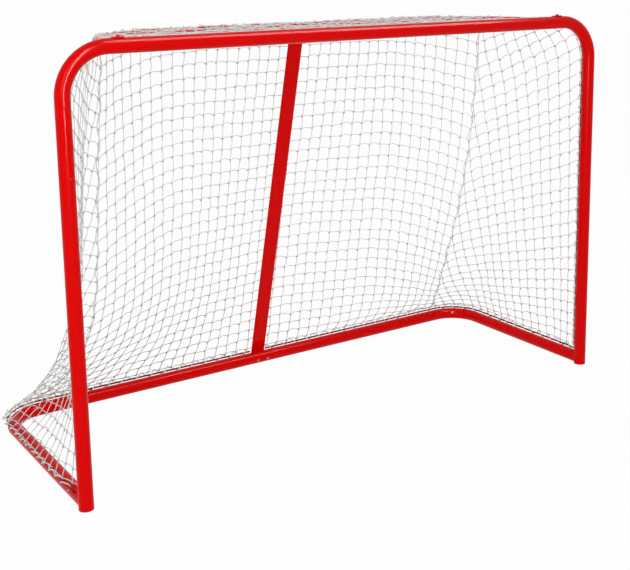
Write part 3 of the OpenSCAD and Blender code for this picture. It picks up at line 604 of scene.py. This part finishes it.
def bump(tree, height, shader, strength, distance):
    """Surface relief from a height."""
    n = add(tree, "ShaderNodeBump", {"Height": height}, Strength=strength, Distance=distance)
    tree.links.new(n.outputs[0], shader.inputs["Normal"])


def film_material(name, colour, second, speck, rough, level, metallic=0.0, wave=260.0, strength=0.12):
    """Smooth coated metal or moulded plastic: two close shades in broad patches, small specks,
    a roughness that varies and a faintly wavy surface."""
    material, tree, shader = surface_material(name, Metallic=metallic, Specular_IOR_Level=level)
    film = use_group(tree, FILM, Wave_Scale=wave)
    base = blend_colour(tree, film["Patch"], colour, second)
    tree.links.new(blend_colour(tree, film["Speck"], base, speck), shader.inputs["Base Color"])
    spread = add(tree, "ShaderNodeMapRange", {"Value": film["Patch"]},
                 From_Min=0.3, From_Max=0.7, To_Min=rough[0], To_Max=rough[1])
    tree.links.new(spread.outputs[0], shader.inputs["Roughness"])
    bump(tree, film["Height"], shader, strength, 0.0004)
    return material


def cord_material(name, colour, groove_shade, shade_colour, twist, strands):
    """Twisted or braided cord: pale ridges and darker grooves, the grooves' darker colour painted
    shade, and the shade colour mixed in, in broad patches, as far as the shade attribute says."""
    material, tree, shader = surface_material(name, Roughness=0.85, Sheen_Weight=0.15, Specular_IOR_Level=0.3)
    strand = use_group(tree, STRAND, Twist=twist, Strands=strands)
    # Painted shade: the grooves between the strands take the darker groove colour.
    base = blend_colour(tree, strand["Ridge"], groove_shade, colour)
    # The shade attribute mixes in the shade colour, more where the broad noise is high.
    shade = add(tree, "ShaderNodeAttribute", attribute_name="shade").outputs["Fac"]
    amount = math_node(tree, "MULTIPLY", shade, math_node(tree, "ADD", strand["Broad"], 0.3))
    tree.links.new(blend_colour(tree, amount, base, shade_colour), shader.inputs["Base Color"])
    bump(tree, strand["Height"], shader, 0.6, 0.0006)
    return material


red_paint = film_material("gloss_red_paint", (0.80, 0.0, 0.0), (0.74, 0.0, 0.0), (0.45, 0.002, 0.003),
                          (0.13, 0.2), 0.06)
# Lacing rods: the red paint made darker, painted shade.
rod_paint_painted_shade = film_material("rod_red_paint_painted_shade", (0.32, 0.0, 0.0), (0.24, 0.0, 0.0), (0.2, 0.01, 0.01),
                          (0.2, 0.32), 0.06)
plug_plastic = film_material("foot_plug_plastic", (0.55, 0.004, 0.005), (0.45, 0.003, 0.004), (0.3, 0.01, 0.01),
                             (0.35, 0.5), 0.3, wave=700.0, strength=0.2)
zinc_plate = film_material("zinc_plated_sleeve", (0.62, 0.63, 0.65), (0.5, 0.51, 0.53), (0.3, 0.3, 0.3),
                           (0.25, 0.45), 0.5, metallic=1.0, wave=500.0)
screw_finish = film_material("screw_dark_finish", (0.20, 0.20, 0.21), (0.14, 0.14, 0.15), (0.35, 0.2, 0.15),
                             (0.3, 0.45), 0.5, metallic=1.0, wave=900.0)
# On the net the shade colour is painted shade: in the knots, at the twines' ends and in the lower rows.
net_twine = cord_material("net_twine", (0.95, 0.95, 0.94), (0.86, 0.86, 0.85), (0.24, 0.21, 0.19), 150.0, 3.0)
# On the lacing the same mix greys the cord a little, evenly in broad patches.
lacing_cord = cord_material("lacing_cord", (0.96, 0.96, 0.95), (0.86, 0.86, 0.85), (0.60, 0.58, 0.56),
                            190.0, 4.0)


# Frame: every solid that stays gets its finish ------------------------------------------------

def finish_of(name):
    """The finish of a solid, from what it is; the lacing rods get a darker copy of the red paint, painted
    shade.
    """
    if "sleeve" in name:
        return zinc_plate
    if "plug" in name:
        return plug_plastic
    if name in ("base_centre_bolts", "base_centre_nuts", "shelf_centre_screws"):
        return screw_finish
    return rod_paint_painted_shade if name.endswith("_rod") else red_paint


for name, solid in nodes.items():
    solid.data.materials.clear()
    solid.data.materials.append(finish_of(name))

# Net ---------------------------------------------------------------------------------------------

for tag, mirror in (("right", False), ("left", True)):
    make_piece(tag + "_side_netting", *panel(*side_panel(mirror)), net_twine, "net_twine", [tag + "_net"])
make_piece("back_netting", *panel(*back_panel()), net_twine, "net_twine", ["back_net"])
make_piece("roof_netting", *panel(*roof_panel()), net_twine, "net_twine", ["roof_net"])

tall = np.linspace(0, 1, 240)
seam = side_surface(np.ones(240), tall)
weave = np.sin(tall * 1.3 / (1.5 * MESH_UP) * math.pi)[:, None] * ACROSS_SEAM * SEAM_WEAVE
top_line = top_edge(np.linspace(0, TOP_HALF, 120))
right_cords = joined([
    cord(seam + weave, SEAM_CORD_R, TWINE_SIDES, 0.3),
    cord(top_line, LACE_R, LACE_SIDES, 0.15),
])
for tag, part in (("right", right_cords), ("left", mirrored(right_cords))):
    make_piece(tag + "_seam_cord", *part, net_twine, "net_twine")

# Lacing: rods with the net edge beside them ---------------------------------------------------------

def front_rod(d):
    """The rod behind the post and round the top corner."""
    p = front_edge(d)
    p[..., 1] = POST_Y + ROD_STAND
    return p


def base_rod(d):
    """The rod over the outside of the base tube, beside the net's lower edge."""
    p = base_edge(d)
    turn = np.clip((d - ARM_RUN) / ARC_RUN, 0, 1) * math.pi / 2
    out = np.stack([np.cos(turn), np.sin(turn)], -1)
    xy = p[..., :2] - out * (NET_OUT - BASE_ROD_OFF)
    return np.concatenate([xy, np.full((len(xy), 1), BASE_Z + BASE_ROD_OFF)], 1)


d_post = np.linspace(0.02, FRONT_RUN - 0.01, 200)
d_arm = np.linspace(0.01, ARM_RUN + ARC_RUN * 0.9, 200)
d_back = np.linspace(ARM_RUN + ARC_RUN, HALF_RUN - 0.035, 200)
post_lace = wound(front_rod(d_post), front_edge(d_post), 0.040, LACE_HOLD)
arm_lace = wound(base_rod(d_arm), base_edge(d_arm), 0.048, LACE_HOLD)
back_lace = wound(base_rod(d_back), base_edge(d_back), 0.050, LACE_HOLD)
bar_x = np.linspace(-0.759, 0.759, 200)
bar_rod = np.stack([bar_x, np.full(200, POST_Y + CROSSBAR_ROD[0]), np.full(200, BAR_Z + CROSSBAR_ROD[1])], -1)
bar_edge = bar_rod + np.array([0, ROOF_FRONT - CROSSBAR_ROD[0], 0])
d_top = np.linspace(0.03, TOP_HALF - 0.035, 300)
top_net = top_edge(d_top)
turn = np.clip((d_top - LEG_RUN) / TOP_ARC_RUN, 0, 1) * math.pi / 2
shelf_axis = top_net - np.stack([np.cos(turn), np.sin(turn), np.zeros(300)], -1) * SHELF_NET_OUT
round_bar = SHELF_TUBE_R + 0.0026
shelf_lace = wound(shelf_axis, shelf_axis + np.array([0, 0, 0.0001]), 0.045, round_bar, round_bar)
bar_lace = wound(bar_rod, bar_edge, 0.040, LACE_HOLD)
laces = [("post", post_lace, "post"), ("arm", arm_lace, "base"),
         ("back", back_lace, "back"), ("shelf", shelf_lace, "shelf")]
for tag in ("right", "left"):
    for place, lace, solid in laces:
        part = lace if tag == "right" else mirrored(lace)
        make_piece(f"{tag}_{place}_cord", *part, lacing_cord, "lacing_cord", [f"{tag}_{solid}_lacing"])
make_piece("crossbar_cord", *bar_lace, lacing_cord, "lacing_cord", ["crossbar_lacing"])

# Studio ------------------------------------------------------------------------------------------------

def seen_straight(tree):
    """1 for rays from the camera, off gloss and through clear parts, and 0 for the rest."""
    ray = tree.nodes.new("ShaderNodeLightPath").outputs
    return math_node(tree, "MAXIMUM", ray["Is Camera Ray"],
                     math_node(tree, "MAXIMUM", ray["Is Glossy Ray"], ray["Is Transmission Ray"]))


world = bpy.data.worlds.new("studio")
bpy.context.scene.world = world
world.use_nodes = True
sky = world.node_tree
sky.nodes.clear()
level = add(sky, "ShaderNodeMapRange", {"Value": seen_straight(sky)}, To_Min=0.5, To_Max=1.0)
glow = add(sky, "ShaderNodeBackground", {"Strength": level.outputs[0]}, Color=(1, 1, 1, 1))
sky.links.new(glow.outputs[0], sky.nodes.new("ShaderNodeOutputWorld").inputs[0])

ground = bpy.data.meshes.new("studio_floor")
ground.from_pydata([(-60, -60, 0), (60, -60, 0), (60, 60, 0), (-60, 60, 0)], [], [(0, 1, 2, 3)])
floor = bpy.data.objects.new("studio_floor", ground)
bpy.context.scene.collection.objects.link(floor)
floor_material, tree, shader = surface_material("pale_floor", Roughness=0.9, Specular_IOR_Level=0.0)
shader.inputs["Base Color"].default_value = (0.85, 0.85, 0.85, 1)
lit = tree.nodes.new("ShaderNodeEmission")
share = math_node(tree, "MULTIPLY", seen_straight(tree), 0.97)
both = add(tree, "ShaderNodeMixShader", {0: share, 1: shader.outputs[0], 2: lit.outputs[0]})
tree.links.new(both.outputs[0], tree.nodes["Material Output"].inputs[0])
ground.materials.append(floor_material)


def lamp(name, place, target, wide, high, power, glint=False):
    """An area lamp that looks at a point, unseen by the camera. A glint lamp only shows as a
    highlight on glossy paint."""
    data = bpy.data.lights.new(name, "AREA")
    data.shape, data.size, data.size_y, data.energy = "RECTANGLE", wide, high, power
    light = bpy.data.objects.new(name, data)
    bpy.context.scene.collection.objects.link(light)
    light.location = place
    light.rotation_euler = (Vector(target) - Vector(place)).to_track_quat("-Z", "Y").to_euler()
    light.visible_camera = False
    light.visible_diffuse = not glint


lamp("strip_over_crossbar", (0.77, POST_Y - 0.51, 2.65), (0.77, POST_Y, 1.24), 2.2, 0.9, 150, True)
lamp("tall_strip_in_front", (-1.03, -2.42, 1.88), (-0.86, POST_Y, 1.18), 0.5, 2.6, 200, True)
lamp("left_front_softbox", (-2.8, -4.0, 2.6), (-0.2, 0, 0.6), 3.0, 3.0, 102)

camera = bpy.data.objects.new("camera", bpy.data.cameras.new("camera"))
bpy.context.scene.collection.objects.link(camera)
yaw, pitch, roll = (math.radians(a) for a in (35.3727, 10.8844, -0.3340))
ahead = np.array([math.sin(yaw) * math.cos(pitch), math.cos(yaw) * math.cos(pitch), -math.sin(pitch)])
right = np.array([math.cos(yaw), -math.sin(yaw), 0])
up = np.cross(right, ahead)
turned = np.stack([math.cos(roll) * right + math.sin(roll) * up,
                   math.cos(roll) * up - math.sin(roll) * right, -ahead], 1)
camera.rotation_euler = Matrix(turned.tolist()).to_euler()
camera.location = (-1.9094, -3.0938, 1.4597)
camera.data.sensor_width = 36
camera.data.lens = 63.897
camera.data.shift_x = -0.09830
camera.data.shift_y = -0.17937
camera.data.clip_end = 200
bpy.context.scene.camera = camera
bpy.context.scene.view_settings.view_transform = "Standard"

bpy.context.view_layer.update()
